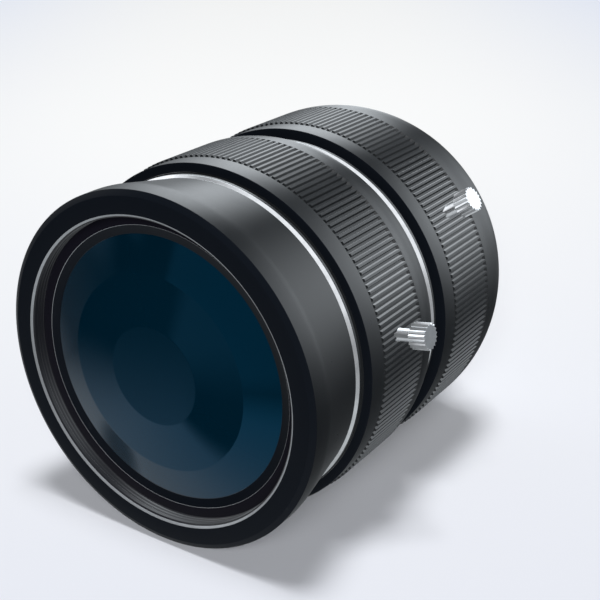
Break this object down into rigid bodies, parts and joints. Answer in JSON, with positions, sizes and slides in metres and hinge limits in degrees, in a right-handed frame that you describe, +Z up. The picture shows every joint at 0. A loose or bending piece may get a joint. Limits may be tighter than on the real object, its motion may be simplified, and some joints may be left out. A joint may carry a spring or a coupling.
{
  "type": "prime lens",
  "caption": "Prime lens with a domed front glass, a knurled focus ring and a knurled iris ring, each with a lock screw, and a threaded camera mount.",
  "frame": {"origin": "centre of the mount's flange seat, on the optical axis", "axes": "+Y along the optical axis towards the camera, the front glass faces -Y, +Z up with the lens lying on its side"},
  "size_m": [0.0517, 0.0585, 0.0476],
  "materials": {
    "black_anodised": "black anodised, satin",
    "bright_metal": "turned bright",
    "steel": "bright",
    "brass": "turned",
    "coated_glass": "polished, coated",
    "blade_steel": "blackened, matte",
    "nylon": "plain"
  },
  "bodies": {
    "base": {"main_barrel": "black_anodised", "focus_thrust_ring": "brass", "focus_stop_pin": "steel", "camera_mount": "bright_metal", "mount_screws": "steel"},
    "focus_ring": {"focus_ring": "black_anodised", "helicoid_nut": "brass", "helicoid_retaining_ring": "brass"},
    "optics_block": {"front_barrel": "black_anodised", "front_retaining_ring": "black_anodised", "front_element": "coated_glass", "lens_barrel": "black_anodised", "guide_pin": "steel", "front_cell": "black_anodised", "second_element": "coated_glass", "front_group_spacer": "black_anodised", "third_element": "coated_glass", "fourth_element": "coated_glass", "front_group_retaining_ring": "black_anodised", "diaphragm_seat": "black_anodised", "rear_cell": "black_anodised", "fifth_element": "coated_glass", "sixth_element": "coated_glass", "rear_group_spacer": "black_anodised", "seventh_element": "coated_glass", "rear_retaining_ring": "black_anodised"},
    "iris_ring": {"iris_ring": "black_anodised", "iris_drive_pin": "steel"},
    "iris_rotor": {"iris_rotor": "black_anodised"},
    "iris_blade_1": {"iris_blade_1": "blade_steel"},
    "iris_blade_2": {"iris_blade_2": "blade_steel"},
    "iris_blade_3": {"iris_blade_3": "blade_steel"},
    "iris_blade_4": {"iris_blade_4": "blade_steel"},
    "iris_blade_5": {"iris_blade_5": "blade_steel"},
    "iris_blade_6": {"iris_blade_6": "blade_steel"},
    "focus_lock_pad": {"focus_lock_pad": "nylon"},
    "focus_lock_screw": {"focus_lock_screw": "steel"},
    "iris_lock_pad": {"iris_lock_pad": "nylon"},
    "iris_lock_screw": {"iris_lock_screw": "steel"}
  },
  "joints": [
    {"name": "focus_turn", "type": "hinge", "parent": "base", "child": "focus_ring", "pos_m": [0, -0.03275, 0], "axis": [0, -1, 0], "range_deg": [0, 180]},
    {"name": "optics_slide", "type": "slide", "parent": "base", "child": "optics_block", "axis": [0, -1, 0], "range_m": [0, 0.0045]},
    {"name": "iris_turn", "type": "hinge", "parent": "base", "child": "iris_ring", "pos_m": [0, -0.01305, 0], "axis": [0, -1, 0], "range_deg": [0, 60]},
    {"name": "rotor_turn", "type": "hinge", "parent": "optics_block", "child": "iris_rotor", "pos_m": [0, -0.02605, 0], "axis": [0, -1, 0], "range_deg": [0, 60]},
    {"name": "blade_1_swing", "type": "hinge", "parent": "optics_block", "child": "iris_blade_1", "pos_m": [0.013, -0.02794, 0], "axis": [0, -1, 0], "range_deg": [0, 27]},
    {"name": "blade_2_swing", "type": "hinge", "parent": "optics_block", "child": "iris_blade_2", "pos_m": [0.0065, -0.02794, 0.01126], "axis": [0, -1, 0], "range_deg": [0, 27]},
    {"name": "blade_3_swing", "type": "hinge", "parent": "optics_block", "child": "iris_blade_3", "pos_m": [-0.0065, -0.02794, 0.01126], "axis": [0, -1, 0], "range_deg": [0, 27]},
    {"name": "blade_4_swing", "type": "hinge", "parent": "optics_block", "child": "iris_blade_4", "pos_m": [-0.013, -0.02794, 0], "axis": [0, -1, 0], "range_deg": [0, 27]},
    {"name": "blade_5_swing", "type": "hinge", "parent": "optics_block", "child": "iris_blade_5", "pos_m": [-0.0065, -0.02794, -0.01126], "axis": [0, -1, 0], "range_deg": [0, 27]},
    {"name": "blade_6_swing", "type": "hinge", "parent": "optics_block", "child": "iris_blade_6", "pos_m": [0.0065, -0.02794, -0.01126], "axis": [0, -1, 0], "range_deg": [0, 27]},
    {"name": "focus_pad_press", "type": "slide", "parent": "focus_ring", "child": "focus_lock_pad", "axis": [-0.9833, 0, -0.1822], "range_m": [0, 0.0001166]},
    {"name": "focus_screw_turn", "type": "hinge", "parent": "focus_lock_pad", "child": "focus_lock_screw", "pos_m": [0.0234, -0.0355, 0.00434], "axis": [-0.9833, 0, -0.1822], "range_deg": [0, 120]},
    {"name": "iris_pad_press", "type": "slide", "parent": "iris_ring", "child": "iris_lock_pad", "axis": [-0.8192, 0, -0.5736], "range_m": [0, 0.0001166]},
    {"name": "iris_screw_turn", "type": "hinge", "parent": "iris_lock_pad", "child": "iris_lock_screw", "pos_m": [0.0195, -0.01575, 0.01365], "axis": [-0.8192, 0, -0.5736], "range_deg": [0, 120]}
  ],
  "couplings": [
    {"joint": "focus_turn", "follows": "optics_slide", "rad_per_m": 698.1},
    {"joint": "rotor_turn", "follows": "iris_turn", "ratio": 1},
    {"joint": "blade_1_swing", "follows": "iris_turn", "ratio": 0.45},
    {"joint": "blade_2_swing", "follows": "iris_turn", "ratio": 0.45},
    {"joint": "blade_3_swing", "follows": "iris_turn", "ratio": 0.45},
    {"joint": "blade_4_swing", "follows": "iris_turn", "ratio": 0.45},
    {"joint": "blade_5_swing", "follows": "iris_turn", "ratio": 0.45},
    {"joint": "blade_6_swing", "follows": "iris_turn", "ratio": 0.45},
    {"joint": "focus_screw_turn", "follows": "focus_pad_press", "rad_per_m": 17950},
    {"joint": "iris_screw_turn", "follows": "iris_pad_press", "rad_per_m": 17950}
  ]
}
